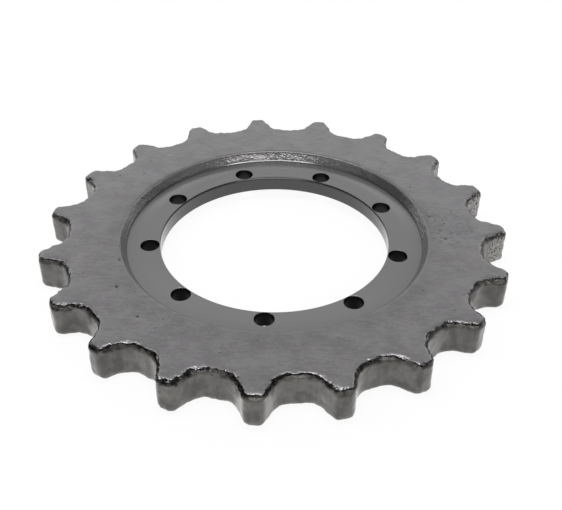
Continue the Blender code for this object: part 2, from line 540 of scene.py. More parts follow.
# %% [markdown]
# ## Pits, bumps and rough teeth
#
# A casting also has single faults, each where the sand gave way or a bubble stayed. Every fault
# here is a place, a reach and a share of the depth. All pits are pushed in by one modifier, whose
# vertex group is strongest in their middles, and all bumps are pushed out by another. Three
# teeth on the right have rough walls, and the edges crumble at the front and the left.

# %% Add the single faults
# Place, reach and share of the depth.
PITS = (
    (-0.0997, -0.0730, 0.0265, 0.0013, 1.0),
    (-0.1074, -0.0276, 0.0265, 0.0012, 0.5),
    (-0.1040, -0.0440, 0.0265, 0.0013, 0.6),
    (-0.0799, -0.1020, 0.0265, 0.0016, 0.5),
    (0.1120, 0.0240, 0.0265, 0.0011, 0.5),
    (0.1190, 0.0070, 0.0265, 0.0012, 0.4),
    (0.1225, -0.0030, 0.0265, 0.0014, 0.5),
    (0.1640, 0.0030, 0.0150, 0.0016, 1.4),
    (0.1662, 0.0008, 0.0135, 0.0014, 1.2),
    (-0.0560, -0.1560, 0.0170, 0.0015, 1.0),
    (-0.0620, -0.1545, 0.0190, 0.0012, 0.9),
    (-0.1074, 0.0213, 0.0262, 0.0016, 0.7),
)
BUMPS = (
    (0.1254, -0.0082, 0.0265, 0.0016, 0.5),
    (0.1215, -0.0010, 0.0265, 0.0013, 0.5),
    (0.1280, 0.0060, 0.0265, 0.0015, 0.4),
    (0.1187, -0.0051, 0.0265, 0.0012, 0.5),
    (0.0480, -0.1120, 0.0265, 0.0018, 0.4),
    (-0.0690, -0.1160, 0.0265, 0.0014, 0.4),
)
FAULT_DEPTH = 0.0007
FAULT_CORE = 0.3
FAULT_REACH = 1.5
MOST_SHARE = 1.5
ROUGH_TEETH = ((0.1600, 0.0130, 0.0130), (0.1510, 0.0600, 0.0130), (0.1280, 0.1000, 0.0130))
ROUGH_REACH = 0.0170
ROUGH_GRAIN = 0.0021
ROUGH_DEPTH = 0.0016
ROUGH_LEAN = (0.2, 0.6)
CRUMBLY_EDGES = (
    (-0.0520, -0.1550, 0.0250),
    (-0.0300, -0.1500, 0.0250),
    (-0.0080, -0.1440, 0.0250),
    (-0.1420, -0.0900, 0.0250),
    (-0.1310, -0.0900, 0.0250),
)
CRUMB_REACH = 0.0220
CRUMB_GRAIN = 0.0022
CRUMB_DEPTH = 0.0014
SPOT_CORE = 0.6
CLOUD_LAYERS = 2


def fault_weights(faults):
    """How strongly each vertex belongs to a fault, where 1 stands for the largest share."""
    weights = numpy.zeros(len(places))
    for x, y, z, reach, share in faults:
        away = numpy.sqrt(((places - numpy.array((x, y, z))) ** 2).sum(axis=1))
        near = 1 - ramp(away, reach * FAULT_CORE, reach * FAULT_REACH)
        weights = numpy.maximum(weights, share * near)
    return numpy.minimum(weights / MOST_SHARE, 1)


def near_any(places, spots, reach):
    """1 close to one of the spots and 0 away from all of them."""
    share = numpy.zeros(len(places))
    for spot in spots:
        away = numpy.sqrt(((places - numpy.array(spot)) ** 2).sum(axis=1))
        share = numpy.maximum(share, 1 - ramp(away, reach * SPOT_CORE, reach))
    return share


def torn_share(places, normals):
    """1 on the walls of the rough teeth and 0 away from them."""
    upright = ramp(1 - numpy.abs(normals[:, 2]), *ROUGH_LEAN)
    return near_any(places, ROUGH_TEETH, ROUGH_REACH) * upright


places, normals = skin_arrays(casting)
for name, faults, direction in (("pits", PITS, -1), ("bumps", BUMPS, 1)):
    add_weights(casting, name, fault_weights(faults))
    depth = direction * MOST_SHARE * FAULT_DEPTH
    apply_modifier(casting, name, "DISPLACE", strength=depth, mid_level=0.0, vertex_group=name)
add_weights(casting, "torn", torn_share(places, normals))
add_weights(casting, "crumbs", front_zone * near_any(places, CRUMBLY_EDGES, CRUMB_REACH))
push_clouds(casting, "torn", ROUGH_GRAIN, ROUGH_DEPTH, "torn", CLOUD_LAYERS)
push_clouds(casting, "crumbs", CRUMB_GRAIN, CRUMB_DEPTH, "crumbs", CLOUD_LAYERS)
print(f"{len(PITS)} pits, {len(BUMPS)} bumps and {len(ROUGH_TEETH)} rough teeth")

# %% [markdown]
# ## Fewer triangles
#
# The flat faces don't need the small triangles that the edges do. Decimate by collapse joins
# them where the surface is flat and leaves them where it bends.

# %% Thin out the mesh
SKIN_TRIANGLES = 170000

before = triangles(casting)
kept_share = min(1, SKIN_TRIANGLES / before)
apply_modifier(casting, "thin", "DECIMATE", decimate_type="COLLAPSE", ratio=kept_share)
print(f"thinned from {before} to {triangles(casting)} triangles")

# %% [markdown]
# ## Facing and boring on the lathe
#
# Both faces of the flange and the bore are turned in one setting, so they are true to each
# other. The tool also skims the foot of the cast wall. It leaves a low upright step there and a
# steep strip above it, which shows as a thin line on the far side. The cut is a solid of
# revolution, like the last one.

# %% Turn the flange and the bore
BOLT_CIRCLE = 0.0900
BOLT_HOLE = 0.00675
BORE_RADIUS = 0.0825
# Points of the broken edge: how far out from the wall and how far below the face.
BORE_EDGE = ((0.0012, 0.0), (0.0004, 0.0002), (0.0, 0.0010))
FACING_RADIUS = 0.1068
FACING_RUN = 0.0004
FACING_RISE = 0.0014
FACING_LAND = 0.0007
FACING_CLEAR = 0.0040
TURNED_STEPS = 360


def facing_side(face, outwards):
    """What the lathe takes away on one side, from its open end down to the bore's wall."""
    corner = face + outwards * FACING_RISE
    clear = face + outwards * FACING_CLEAR
    broken_edge = [(BORE_RADIUS + out, face - outwards * down) for out, down in BORE_EDGE]
    return [
        (0, clear),
        (FACING_RADIUS, clear),
        (FACING_RADIUS, corner),
        (FACING_RADIUS - FACING_RUN, face + outwards * FACING_LAND),
        (FACING_RADIUS - FACING_RUN, face),
        *broken_edge,
    ]


facing_cut = spun_cutter(
    "facing_cut", facing_side(FLANGE_FRONT, 1) + facing_side(FLANGE_BACK, -1)[::-1], TURNED_STEPS
)
cut_out(casting, facing_cut, "turning", "MANIFOLD")
print(f"turned: bore {2 * BORE_RADIUS / MILLIMETRE:.0f} mm, {triangles(casting)} triangles")

# %% [markdown]
# ## Drilling the bolt holes
#
# The nine holes stand so close to the bore that only three quarters of a millimetre of metal is
# left between them. Each is drilled and gets a small chamfer at the front. One cutter is spun
# like the last one, and its copies go round the bolt circle.

# %% Drill the holes
BOLT_COUNT = 9
# Points of the broken edge, as for the bore.
HOLE_EDGE = ((0.0004, 0.0), (0.00018, 0.0001), (0.0, 0.0003))
HOLE_STEPS = 72


def drill_profile():
    """Outline of one drilled hole with its broken front edge, down its axis."""
    clear = OVERRUN / 4
    widest = BOLT_HOLE + HOLE_EDGE[0][0]
    return [
        (0, FLANGE_FRONT + clear),
        (widest, FLANGE_FRONT + clear),
        *((BOLT_HOLE + out, FLANGE_FRONT - down) for out, down in HOLE_EDGE),
        (BOLT_HOLE, FLANGE_BACK - clear),
        (0, FLANGE_BACK - clear),
    ]


drill = spun_cutter("drill_cut", drill_profile(), HOLE_STEPS, (0, -BOLT_CIRCLE, 0))
cut_out(casting, copies_round(drill, BOLT_COUNT, 0), "drilling", "MANIFOLD")
print(f"drilled {BOLT_COUNT} holes of {2 * BOLT_HOLE / MILLIMETRE:.1f} mm")

# %% [markdown]
# ## Smooth shading with crisp machined edges
#
# The surface is shaded smooth, except where two faces meet at a clear angle. That keeps the
# machined edges sharp to the eye and the cast skin soft. The walls of the bolt holes, the rough
# teeth and the pits are marked with a number on each vertex, because they are painted otherwise.

# %% Shade the finished piece
CRISP_ANGLE = math.radians(40)
MACHINED_ANGLE = math.radians(12)
MACHINED_EDGE = 0.0002
MACHINED_REACH = FACING_RISE + MACHINED_EDGE
HOLE_TOP = FLANGE_FRONT - HOLE_EDGE[1][1] * 1.5
HOLE_REACH = BOLT_HOLE + HOLE_EDGE[1][0] / 2

pick_only(casting)
bpy.ops.object.shade_smooth_by_angle(angle=CRISP_ANGLE)
casting.vertex_groups.clear()


def is_machined_edge(edge):
    """True where two machined surfaces meet, also at a slight angle."""
    for vert in edge.verts:
        deep = FLANGE_BACK - MACHINED_REACH < vert.co.z < FLANGE_FRONT + MACHINED_REACH
        if vert.co.to_2d().length > FACING_RADIUS + MACHINED_EDGE or not deep:
            return False
    return edge.calc_face_angle(0) > MACHINED_ANGLE


select_in_edit(casting, "EDGE", is_machined_edge)
bpy.ops.mesh.mark_sharp()
leave_edit()

places, normals = skin_arrays(casting)
inside_hole = numpy.zeros(len(places), dtype=numpy.float32)
for number in range(BOLT_COUNT):
    angle = number * 2 * math.pi / BOLT_COUNT - math.pi / 2
    away = numpy.hypot(
        places[:, 0] - BOLT_CIRCLE * math.cos(angle), places[:, 1] - BOLT_CIRCLE * math.sin(angle)
    )
    inside_hole[(away < HOLE_REACH) & (places[:, 2] < HOLE_TOP)] = 1
vertex_marks = {
    "inside_hole": inside_hole,
    "torn": torn_share(places, normals),
    "pitted": fault_weights(PITS),
}
for name, values in vertex_marks.items():
    marks = casting.data.attributes.new(name, "FLOAT", "POINT")
    marks.data.foreach_set("value", values.astype(numpy.float32))
print(f"finished piece: {triangles(casting)} triangles")

# %% [markdown]
# ## Writing shader maths as expressions
#
# A material's maths is easier to read as a formula than as a chain of nodes. The small class here
# wraps an output of a node. Adding or multiplying two of them adds the matching Math node. A
# second class stands for all the nodes of a material or world, and adds any node in one call.

# %% Two classes for nodes
class Signal:
    """An output socket that adds Math nodes when it is used in an expression."""

    def __init__(self, sheet, socket):
        self.sheet = sheet
        self.socket = socket

    def math(self, operation, *values):
        """One operation of a Math node on this output and other values."""
        return self.sheet.node("ShaderNodeMath", {"operation": operation}, (self, *values))

    def __add__(self, other):
        return self.math("ADD", other)

    def __radd__(self, other):
        return self.math("ADD", other)

    def __sub__(self, other):
        return self.math("SUBTRACT", other)

    def __rsub__(self, other):
        return self.sheet.node("ShaderNodeMath", {"operation": "SUBTRACT"}, (other, self))

    def __mul__(self, other):
        return self.math("MULTIPLY", other)

    def __rmul__(self, other):
        return self.math("MULTIPLY", other)

    def rise(self, start, end):
        """0 below start, 1 above end and a smooth rise between them."""
        settings = {"interpolation_type": "SMOOTHSTEP"}
        return self.sheet.node("ShaderNodeMapRange", settings, (self, start, end, 0.0, 1.0))


class NodeSheet:
    """The nodes of a material or a world."""

    def __init__(self, tree):
        self.tree = tree

    def node(self, kind, settings, inputs, output=0):
        """Adds a node, sets it up, fills or links its sockets and returns an output."""
        made = self.tree.nodes.new(kind)
        for setting, value in settings.items():
            setattr(made, setting, value)
        pairs = inputs.items() if isinstance(inputs, dict) else enumerate(inputs)
        for place, value in pairs:
            if isinstance(value, Signal):
                self.tree.links.new(value.socket, made.inputs[place])
            else:
                made.inputs[place].default_value = value
        return Signal(self, made.outputs[output])

    def noise(self, place, scale, detail):
        """A noise between 0 and 1 with so many grains to a metre."""
        inputs = {"Vector": place, "Scale": scale, "Detail": detail}
        return self.node("ShaderNodeTexNoise", {}, inputs)

    def axis(self, vector, name):
        """One of the three numbers of a vector."""
        return self.node("ShaderNodeSeparateXYZ", {}, (vector,), output=name)

    def stretch(self, vector, factors):
        """A vector with each of its numbers multiplied."""
        return self.node("ShaderNodeVectorMath", {"operation": "MULTIPLY"}, (vector, factors))

    def mark(self, name):
        """A number that is kept on each vertex."""
        return self.node("ShaderNodeAttribute", {"attribute_name": name}, (), output="Fac")

    def blend(self, share, first, second):
        """The first colour where share is 0 and the second where it is 1."""
        return self.node(
            "ShaderNodeMix", {"data_type": "RGBA"}, {0: share, 6: first, 7: second}, output=2
        )


# %% [markdown]
# ## Which surface is where
#
# One material covers the whole piece, so it first has to know which surface it is on. The
# distance from the axis and the height tell where the lathe has been, and the height of the
# surface's normal tells flat from upright. The marks on the vertices tell the rest. Every answer
# is a mask, a number from 0 to 1, and later steps multiply a colour or a gloss by it. Here and
# below, a pair of numbers says where a mask begins to rise and where it is full.

# %% Tell the surfaces apart
TEETH_START = SEAT_FLOOR - 0.02
RECESS_LEAN = (0.10, 0.30)
LAND_LEAN = (0.5, 0.9)
BORE_SHADE_DEPTH = 0.0020


def surface_masks(sheet):
    """The place on the piece, and the masks that tell its surfaces apart."""
    where = SimpleNamespace()
    where.place = sheet.node("ShaderNodeTexCoord", {}, (), output="Object")
    where.rightwards = sheet.axis(where.place, "X")
    where.backwards = sheet.axis(where.place, "Y")
    height = sheet.axis(where.place, "Z")
    flat_place = sheet.stretch(where.place, (1, 1, 0))
    where.distance = sheet.node(
        "ShaderNodeVectorMath", {"operation": "LENGTH"}, (flat_place,), output="Value"
    )
    normal = sheet.node("ShaderNodeNewGeometry", {}, (), output="Normal")
    where.lean = 1 - sheet.axis(normal, "Z")

    inside = where.distance.math("LESS_THAN", FACING_RADIUS + MACHINED_EDGE)
    below = height.math("LESS_THAN", FLANGE_FRONT + MACHINED_REACH)
    above = height.math("GREATER_THAN", FLANGE_BACK - MACHINED_REACH)
    where.machined = inside * below * above
    where.in_bore = where.distance.math("LESS_THAN", BORE_RADIUS + MACHINED_EDGE)
    where.in_hole = sheet.mark("inside_hole")
    where.torn = sheet.mark("torn")
    where.pitted = sheet.mark("pitted")
    where.on_teeth = where.distance.math("GREATER_THAN", TEETH_START)
    where.recess_wall = (1 - where.on_teeth) * where.lean.rise(*RECESS_LEAN)

    land_radius = FACING_RADIUS - FACING_RUN
    where.on_slope = where.distance.math("GREATER_THAN", land_radius + WELD)
    where.on_land = where.distance.math("GREATER_THAN", land_radius - WELD)
    where.on_land = where.on_land * where.lean.rise(*LAND_LEAN)
    # Where a line of painted shade runs along the bore's front edge.
    at_bore_edge = where.distance.math("LESS_THAN", BORE_RADIUS + BORE_EDGE[1][0] + WELD)
    near_front = height.math("GREATER_THAN", FLANGE_FRONT - BORE_SHADE_DEPTH)
    where.bore_line = at_bore_edge * near_front * where.machined
    return where


paint = bpy.data.materials.new("painted_cast_steel")
paint.use_nodes = True
sheet = NodeSheet(paint.node_tree)
where = surface_masks(sheet)
print("known of every point:", ", ".join(vars(where)))

# %% [markdown]
# ## Patterns in the paint
#
# Paint on a casting is never even. Noise textures of several sizes stand for the mottle, the
# grain, the brush marks, the streaks that ran down and the lumps under the coat. Where marks have
# a direction, the place is squeezed along one axis first, which stretches the noise. Small pits
# come from the cells of a Voronoi texture, of which only some are used.

# %% Make the patterns
# Name, grains to a metre, detail, and how the place is squeezed along X, Y and Z.
PATTERNS = (
    ("mottle", 70.0, 3.0, None),
    ("grain", 620.0, 4.0, None),
    ("brush_marks", 420.0, 5.0, (0.30, 1, 1)),
    ("streaks", 260.0, 3.0, (1, 1, 0.15)),
    ("blotches", 110.0, 3.0, None),
    ("lumps", 330.0, 3.0, None),
    ("specks", 900.0, 2.0, None),
    ("sparkle", 680.0, 1.0, None),
    ("patches", 28.0, 1.0, None),
)
PIT_CELLS = 48.0
PIT_SIZE = (0.0, 0.055)
PITTED_CELLS = (0.70, 0.80)
CRUMB_PLACE = (0.1240, 0.0130, 0.0265)
CRUMB_SPREAD = (0.012, 0.028)
CRUMB_SIZE = (0.57, 0.65)


def paint_patterns(sheet, place):
    """Noises of several kinds, small pits and one patch of crumbs, each between 0 and 1."""
    pattern = SimpleNamespace()
    for name, grains, detail, squeeze in PATTERNS:
        spot = sheet.stretch(place, squeeze) if squeeze else place
        setattr(pattern, name, sheet.noise(spot, grains, detail))
    pit_away = sheet.node(
        "ShaderNodeTexVoronoi",
        {"voronoi_dimensions": "2D"},
        {"Vector": place, "Scale": PIT_CELLS},
    )
    pit_tint = Signal(sheet, pit_away.socket.node.outputs["Color"])
    pit_lot = sheet.node("ShaderNodeSeparateColor", {}, (pit_tint,))
    pattern.pits = (1 - pit_away.rise(*PIT_SIZE)) * pit_lot.rise(*PITTED_CELLS)
    crumb_away = sheet.node(
        "ShaderNodeVectorMath", {"operation": "DISTANCE"}, (place, CRUMB_PLACE), output="Value"
    )
    near_crumbs = 1 - crumb_away.rise(*CRUMB_SPREAD)
    pattern.crumbs = pattern.lumps.rise(*CRUMB_SIZE) * near_crumbs
    return pattern


pattern = paint_patterns(sheet, where.place)
print("patterns:", ", ".join(vars(pattern)))

# %% [markdown]
# ## The painted shade on the rounds
#
# Under the glints along a rounded edge, a black and glossy band is painted in as shade, for the
# dark room that the rounds mirror there. Its upper border is fairly even and its lower one ragged.
# It is widest on the nearest teeth at the left, narrower on the right and further back, and has
# nearly faded from the furthest teeth.

# %% Say where the painted shade lies
PAINT_TOP = (0.12, 0.20)
PAINT_TOP_WAVE = 0.10
PAINT_FOOT = (0.42, 0.92)
RAGGED_LUMPS = 0.7
RAGGED_BLOTCHES = 0.6
RAGGED_SPECKS = 0.5
THIN_RIGHT = (0.00, 0.10)
THIN_BACK = (-0.085, -0.050)
THIN_LEFT = (-0.150, -0.135)
THIN_LEFT_BACK = (-0.060, -0.030)
THIN_PATCHES = (0.42, 0.60)
THIN_PATCH_SHARE = 0.6
THINNING = 0.40
SHADE_FADES_BACK = (0.050, 0.090)
SHADE_FADE_SHARE = 0.8


def paint_edge_shade(where, pattern):
    """1 where painted shade, a black band, covers a round of the teeth and 0 elsewhere."""
    lumps = pattern.lumps - 0.5
    blotches = pattern.blotches - 0.5
    specks = pattern.specks - 0.5
    top = (where.lean + lumps * PAINT_TOP_WAVE).rise(*PAINT_TOP)
    ragged = lumps * RAGGED_LUMPS + blotches * RAGGED_BLOTCHES + specks * RAGGED_SPECKS
    thin = where.rightwards.rise(*THIN_RIGHT)
    thin = thin.math("MAXIMUM", where.backwards.rise(*THIN_BACK))
    thin = thin.math("MAXIMUM", pattern.patches.rise(*THIN_PATCHES) * THIN_PATCH_SHARE)
    left = 1 - where.rightwards.rise(*THIN_LEFT)
    thin = thin.math("MAXIMUM", left * where.backwards.rise(*THIN_LEFT_BACK))
    foot = (where.lean + ragged + THINNING * thin).rise(*PAINT_FOOT)
    # Less painted shade towards the back.
    fades = where.backwards.rise(*SHADE_FADES_BACK) * SHADE_FADE_SHARE
    return top * (1 - foot) * where.on_teeth * (1 - fades)


edge_shade = paint_edge_shade(where, pattern)
print(f"thick paint placed, {len(paint.node_tree.nodes)} nodes so far")

# %% [markdown]
# ## Colours of the cast surfaces
#
# The flat faces are an even dark grey, with painted shade beside the recess, fading towards the
# back.
# The walls between the teeth are darker and browner: the darker tone is painted shade, and the
# blotches and streaks are stains. On the rough teeth bare grey metal shows through. The wall of
# the recess has its own even grey. Pits are painted black as shade, like the rounds.

# %% Mix the paint
FACE_LIGHT = (0.168, 0.164, 0.168, 1)
FACE_DARK = (0.132, 0.128, 0.132, 1)
WALL_LIGHT = (0.112, 0.106, 0.098, 1)
WALL_DARK = (0.047, 0.044, 0.040, 1)
TORN_COLOUR = (0.340, 0.333, 0.315, 1)
RECESS_COLOUR = (0.162, 0.158, 0.161, 1)
# Painted shade: the black of the bands under the glints, of the pits and of the face beside the
# recess.
PAINTED_SHADE_COLOUR = (0.024, 0.023, 0.024, 1)
FACE_CONTRAST = (0.40, 0.60)
WALL_CONTRAST = (0.36, 0.62)
TORN_SPECKS = (0.40, 0.58)
WALL_SHADE_LEAN = (0.12, 0.35)
RECESS_SHADE_REACH = (0.112, 0.136)
RECESS_SHADE_BACK = (0.030, 0.090)
RECESS_SHADE_SHARE = 0.13
PIT_SHADE_SHARE = 0.8
PIT_SHADE_CORE = (0.08, 0.35)


def face_colour(sheet, where, pattern):
    """Even grey paint, with painted shade in its small pits and beside the recess."""
    uneven = pattern.mottle * 0.35 + pattern.grain * 0.30 + pattern.brush_marks * 0.35
    face = sheet.blend(uneven.rise(*FACE_CONTRAST), FACE_DARK, FACE_LIGHT)
    # Painted shade on the face beside the recess, fading towards the back.
    recess_shade = 1 - where.distance.rise(*RECESS_SHADE_REACH)
    recess_shade = recess_shade * (1 - where.backwards.rise(*RECESS_SHADE_BACK))
    face = sheet.blend(recess_shade * RECESS_SHADE_SHARE, face, PAINTED_SHADE_COLOUR)
    # Painted shade: the small pits are darkened towards the shade colour.
    return sheet.blend(pattern.pits * PIT_SHADE_SHARE, face, PAINTED_SHADE_COLOUR)


def wall_colour(sheet, where, pattern):
    """Stained paint between the teeth, darkened as painted shade, with bare metal on the rough
    ones.
    """
    stains = pattern.streaks * 0.3 + pattern.blotches * 0.7
    wall = sheet.blend(stains.rise(*WALL_CONTRAST), WALL_DARK, WALL_LIGHT)
    bare = where.torn * pattern.specks.rise(*TORN_SPECKS)
    return sheet.blend(bare, wall, TORN_COLOUR)


def cast_colour(sheet, where, pattern, edge_shade):
    """Colour of everything that the lathe hasn't touched."""
    face = face_colour(sheet, where, pattern)
    wall = wall_colour(sheet, where, pattern)
    # Painted shade: upright surfaces take the darker wall colour, by the tilt of their normal.
    cast = sheet.blend(where.lean.rise(*WALL_SHADE_LEAN), face, wall)
    cast = sheet.blend(where.recess_wall, cast, RECESS_COLOUR)
    # Painted shade: black in the bands under the glints and in the pits.
    black = edge_shade.math("MAXIMUM", where.pitted.rise(*PIT_SHADE_CORE) * PIT_SHADE_SHARE)
    return sheet.blend(black, cast, PAINTED_SHADE_COLOUR)


cast = cast_colour(sheet, where, pattern, edge_shade)
print(f"cast colours mixed, {len(paint.node_tree.nodes)} nodes so far")

# %% [markdown]
# ## Colours of the machined surfaces
#
# The flange is plain turned metal, with painted light towards the front, and the bore is darker,
# with a black line of painted shade along its front edge. The strip that the lathe leaves at the
# foot of the recess is painted lighter than the flange, as painted light. The bolt holes are
# painted black as shade, less so on the far side.

# %% Mix the metal colours
MACHINED_COLOUR = (0.114, 0.112, 0.114, 1)
LIT_FRONT_FLANGE_COLOUR = (0.134, 0.131, 0.134, 1)
BORE_COLOUR = (0.038, 0.039, 0.037, 1)
BORE_SHADE_LINE_COLOUR = (0.006, 0.006, 0.006, 1)
LIT_STRIP_COLOUR = (0.150, 0.150, 0.152, 1)
NEAR_HOLE_SHADE_COLOUR = (0.007, 0.007, 0.007, 1)
FAR_HOLE_SHADE_COLOUR = (0.031, 0.031, 0.031, 1)
LIT_FRONT_REACH = (-0.080, -0.020)
HOLE_SHADE_FADE = (-0.030, 0.050)


def turned_colour(sheet, where):
    """Colour of the flange, the strip at its edge and the bore, with painted light and shade."""
    # Painted light: the flange is lighter towards the front.
    lit_front = where.backwards.rise(*LIT_FRONT_REACH)
    turned = sheet.blend(lit_front, LIT_FRONT_FLANGE_COLOUR, MACHINED_COLOUR)
    turned = sheet.blend(where.in_bore, turned, BORE_COLOUR)
    # Painted light: the strip and the land at the foot of the recess are lighter than the flange.
    turned = sheet.blend(where.on_slope.math("MAXIMUM", where.on_land), turned, LIT_STRIP_COLOUR)
    # Painted shade: a black line along the front edge of the bore.
    return sheet.blend(where.bore_line, turned, BORE_SHADE_LINE_COLOUR)


def hole_colour(sheet, where):
    """Painted shade on the drilled walls, lighter towards the far side."""
    less_shade = where.backwards.rise(*HOLE_SHADE_FADE)
    return sheet.blend(less_shade, NEAR_HOLE_SHADE_COLOUR, FAR_HOLE_SHADE_COLOUR)


colour = sheet.blend(where.machined, cast, turned_colour(sheet, where))
# Painted shade inside the bolt holes.
colour = sheet.blend(where.in_hole, colour, hole_colour(sheet, where))
print(f"metal colours mixed, {len(paint.node_tree.nodes)} nodes so far")

# %% [markdown]
# ## Metal and gloss
#
# The coat of paint is so thin that the sheen of the steel shows through it. The rounds and the
# recess wall are the glossiest, and fine lumps break up what they mirror. The flange is dull, but
# for a polished ring along its edge at the back, which mirrors the wall beside it. The steep
# walls of the teeth and the bore have a clear coat of oil.

# %% Set the gloss
STEEL_SHARE = 0.75
FLANGE_STEEL_SHARE = 0.30
COAT_LEAN = (0.78, 0.95)
WALL_COAT = 0.9
OUTER_FLANGE = (0.092, 0.100)
POLISHED_BACK = (0.000, 0.050)
POLISH = 0.19
FLANGE_DULLNESS = 0.10
PLAIN_ROUGHNESS = 0.36
GRAIN_ROUGHNESS = 0.08
WALL_GLOSS = 0.06
ROUND_GLOSS = 0.20
MACHINED_GLOSS = 0.08
STRIP_GLOSS = 0.16
RECESS_DULLNESS = 0.02
ON_WALL = (0.35, 0.85)
ROUND_START = (0.02, 0.10)
ROUND_END = (0.25, 0.45)
PAST_LIP = (0.20, 0.38)
LEVEL_FLANGE = (0.02, 0.08)


def gloss_masks(where):
    """Masks for the walls of the teeth, the recess wall, the glossy rounds and the flange."""
    shine = SimpleNamespace()
    shine.on_wall = where.lean.rise(*ON_WALL) * where.on_teeth
    shine.in_recess = where.recess_wall * (1 - where.machined) * where.lean.rise(*PAST_LIP)
    rounds = where.lean.rise(*ROUND_START) * (1 - where.lean.rise(*ROUND_END))
    shine.on_round = (rounds * where.on_teeth).math("MAXIMUM", shine.in_recess)
    level = 1 - where.lean.rise(*LEVEL_FLANGE)
    shine.on_flange = where.machined * (1 - where.in_bore) * level
    return shine


def metal_share(where, shine, edge_shade):
    """How much the surface mirrors as bare metal does."""
    metal = STEEL_SHARE + (1 - STEEL_SHARE) * where.in_hole.math("MAXIMUM", edge_shade)
    dull_land = where.machined * where.on_land * (1 - where.on_slope)
    dull = shine.on_flange.math("MAXIMUM", dull_land)
    return metal - (STEEL_SHARE - FLANGE_STEEL_SHARE) * dull * (1 - where.in_hole)


def surface_roughness(where, pattern, shine):
    """How blurred each surface's reflections are."""
    roughness = PLAIN_ROUGHNESS + GRAIN_ROUGHNESS * pattern.grain
    roughness = roughness - WALL_GLOSS * shine.on_wall - ROUND_GLOSS * shine.on_round
    roughness = roughness - MACHINED_GLOSS * where.machined + RECESS_DULLNESS * shine.in_recess
    roughness = roughness - STRIP_GLOSS * where.machined * where.on_slope
    polished = where.distance.rise(*OUTER_FLANGE) * where.backwards.rise(*POLISHED_BACK)
    return roughness + shine.on_flange * (FLANGE_DULLNESS - POLISH * polished)


def coat_weight(where):
    """Clear coat of oil on the steep walls of the teeth and in the bore."""
    on_steep = where.lean.rise(*COAT_LEAN) * where.on_teeth
    return (on_steep * WALL_COAT).math("MAXIMUM", where.in_bore)


shine = gloss_masks(where)
coat = coat_weight(where)
metal = metal_share(where, shine, edge_shade)
roughness = surface_roughness(where, pattern, shine)
print("gloss set:", ", ".join(vars(shine)))

# %% [markdown]
# ## The finished paint
#
# Unevenness that is too fine for the mesh becomes a bump. It adds up all the kinds, each with its
# own strength, and the lathe has left none on the machined surfaces. Then every part goes into
# its socket of one Principled shader.

# %% Lay the paint on
BUMP_HEIGHT = 0.0006
BUMP_STRENGTH = 0.5
GRAIN_RELIEF = 0.30
BRUSH_RELIEF = 0.10
LUMP_RELIEF = 2.2
LUMP_RELIEF_LOST = 2.0
SPECK_RELIEF = 0.7
SPECK_RELIEF_LOST = 0.4
SPARKLE_RELIEF = 0.55
CRUMB_RELIEF = 2.8
PIT_RELIEF = 0.9
TORN_RELIEF = 3.5
STREAK_RELIEF = 0.35
COAT_ROUGHNESS = 0.16


def fine_relief(sheet, where, pattern, shine):
    """Normals of the finest unevenness."""
    lumpy = shine.on_round * (LUMP_RELIEF - LUMP_RELIEF_LOST * shine.in_recess)
    speckled = shine.on_round * (SPECK_RELIEF - SPECK_RELIEF_LOST * shine.in_recess)
    crumbs_and_pits = pattern.crumbs * CRUMB_RELIEF - pattern.pits * PIT_RELIEF
    height = (1 - where.machined) * (
        pattern.grain * GRAIN_RELIEF
        + pattern.brush_marks * BRUSH_RELIEF
        + pattern.lumps * lumpy
        + pattern.specks * speckled
        + pattern.sparkle * shine.in_recess * SPARKLE_RELIEF
        + crumbs_and_pits * (1 - where.lean.rise(*ROUND_START))
        + pattern.specks * where.torn * TORN_RELIEF
        + pattern.streaks * shine.on_wall * STREAK_RELIEF
    )
    inputs = {"Strength": BUMP_STRENGTH, "Distance": BUMP_HEIGHT, "Height": height}
    return sheet.node("ShaderNodeBump", {}, inputs)


parts = {
    "Base Color": colour,
    "Coat Weight": coat,
    "Metallic": metal,
    "Roughness": roughness,
    "Normal": fine_relief(sheet, where, pattern, shine),
}
shader = paint.node_tree.nodes["Principled BSDF"]
for name, part in parts.items():
    paint.node_tree.links.new(part.socket, shader.inputs[name])
shader.inputs["Coat Roughness"].default_value = COAT_ROUGHNESS
casting.data.materials.clear()
casting.data.materials.append(paint)
print(f"paint laid on, {len(paint.node_tree.nodes)} nodes")

# %% [markdown]
# ## Hand the piece to the frame
#
# The finished casting stands for the engineering solid, which stays hidden behind it for
# collision. It moves with the only body there is.

# %% Connect the piece
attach(casting, "root")
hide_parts(CAD_NODE)

# %% [markdown]
# ## The floor
#
# The ring lies on a white table that runs on into a white backdrop. The table is mixed from two
# shaders. The camera and reflections mostly see one that glows white, so that the picture's
# background is white without more light on the ring. All other rays see a plain white surface,
# which keeps a faint shadow.

# %% Lay the floor
FLOOR_SIZE = 12.0
FLOOR_GAP = 0.0002
TABLE_COLOUR = (0.88, 0.88, 0.88, 1)
WHITE = (1, 1, 1, 1)
CAMERA_SHARE = 0.93
MIRROR_SHARE = 0.88


def ray_is(sheet, kind):
    """1 for one kind of ray and 0 for the others."""
    return sheet.node("ShaderNodeLightPath", {}, (), output=f"Is {kind} Ray")


